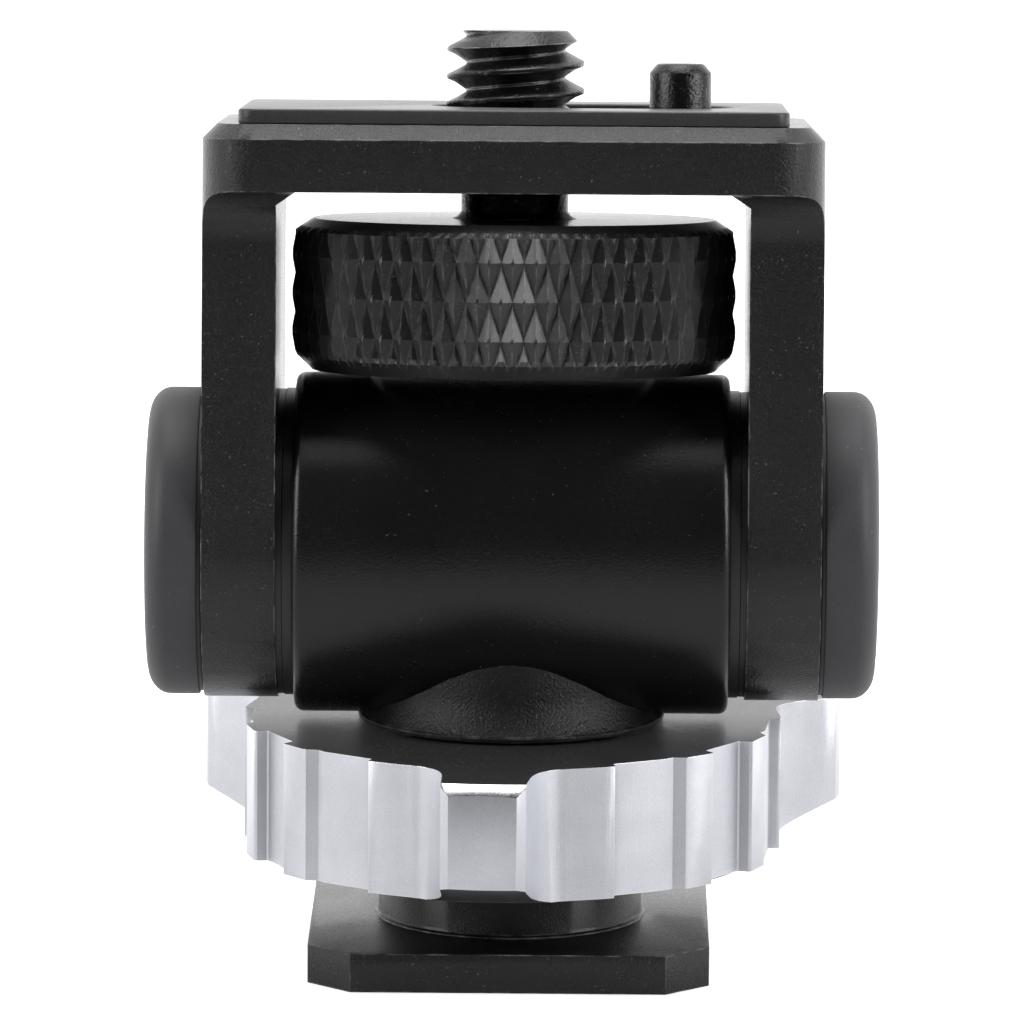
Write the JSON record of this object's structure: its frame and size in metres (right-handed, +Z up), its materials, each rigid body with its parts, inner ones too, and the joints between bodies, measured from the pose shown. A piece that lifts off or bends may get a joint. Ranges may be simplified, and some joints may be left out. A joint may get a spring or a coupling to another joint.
{
  "type": "cold-shoe swivel and tilt monitor mount",
  "caption": "Small cold-shoe mount: a U-yoke with a captive camera screw and sprung locating pin tilts on a barrel that swivels on a shoe foot with a lobed clamping wheel.",
  "frame": {"origin": "centre of the shoe foot's underside, on the swivel axis", "axes": "+Z up along the swivel axis, +X along the tilt axis to the locating pin's side, -Y towards the front"},
  "size_m": [0.0338, 0.0289, 0.043],
  "materials": {
    "black_anodised": "fine bead-blasted black anodising",
    "black_anodised_satin": "smooth satin black anodising",
    "silver_anodised": "machined and clear anodised, fine satin",
    "zinc_steel": "zinc plated",
    "black_steel": "black oxide, slightly glossy",
    "black_rubber": "matte with fine grain",
    "grey_plastic": "matte moulded",
    "black_plastic": "smooth low friction plastic",
    "white_plastic": "smooth low friction plastic"
  },
  "bodies": {
    "base": {"shoe_foot": "black_anodised", "swivel_bolt": "zinc_steel", "swivel_nut": "zinc_steel", "swivel_disc_springs": "zinc_steel", "swivel_friction_washer": "white_plastic"},
    "clamp": {"clamp_pad": "black_rubber"},
    "wheel": {"lock_wheel": "silver_anodised"},
    "head": {"swivel_barrel": "black_anodised_satin", "saddle_washer": "zinc_steel", "end_plug_left": "zinc_steel", "end_plug_right": "zinc_steel", "tilt_screw_left": "zinc_steel", "tilt_screw_right": "zinc_steel", "tilt_disc_spring_left": "zinc_steel", "tilt_disc_spring_right": "zinc_steel", "friction_washer_left": "black_plastic", "friction_washer_right": "black_plastic"},
    "yoke": {"yoke": "black_anodised", "top_pad": "black_rubber", "pin_cover_plate": "zinc_steel", "thrust_washer_left": "black_steel", "thrust_washer_right": "black_steel", "end_cap_left": "grey_plastic", "end_cap_right": "grey_plastic", "pin_spring": "zinc_steel"},
    "screw_carrier": {"shank_ring": "zinc_steel"},
    "thumbscrew": {"thumb_wheel": "black_anodised", "mount_screw": "black_steel"},
    "pin": {"locating_pin": "black_steel"}
  },
  "joints": [
    {"name": "clamp_travel", "type": "slide", "parent": "base", "child": "clamp", "axis": [0, 0, 1], "range_m": [-0.0027, 0]},
    {"name": "lock_wheel_turn", "type": "hinge", "parent": "clamp", "child": "wheel", "pos_m": [0, 0, 0.008], "axis": [0, 0, 1], "range_deg": [-975, 0]},
    {"name": "swivel", "type": "hinge", "parent": "base", "child": "head", "pos_m": [0, 0, 0.0135], "axis": [0, 0, 1], "continuous": true},
    {"name": "tilt", "type": "hinge", "parent": "head", "child": "yoke", "pos_m": [0, 0, 0.0192], "axis": [1, 0, 0], "range_deg": [-66.5, 78.5]},
    {"name": "screw_lift", "type": "slide", "parent": "yoke", "child": "screw_carrier", "axis": [0, 0.1045, 0.9945], "range_m": [0, 0.0013]},
    {"name": "thumbwheel_turn", "type": "hinge", "parent": "screw_carrier", "child": "thumbscrew", "pos_m": [0, 0.00187, 0.037], "axis": [0, 0.1045, 0.9945], "continuous": true},
    {"name": "pin_press", "type": "slide", "parent": "yoke", "child": "pin", "axis": [0, 0.1045, 0.9945], "range_m": [-0.0019, 0], "stiffness_N_per_m": 400, "springref_m": 0.0006, "deforming": ["pin_spring"]}
  ],
  "couplings": [
    {"joint": "lock_wheel_turn", "follows": "clamp_travel", "rad_per_m": 6283.2}
  ]
}
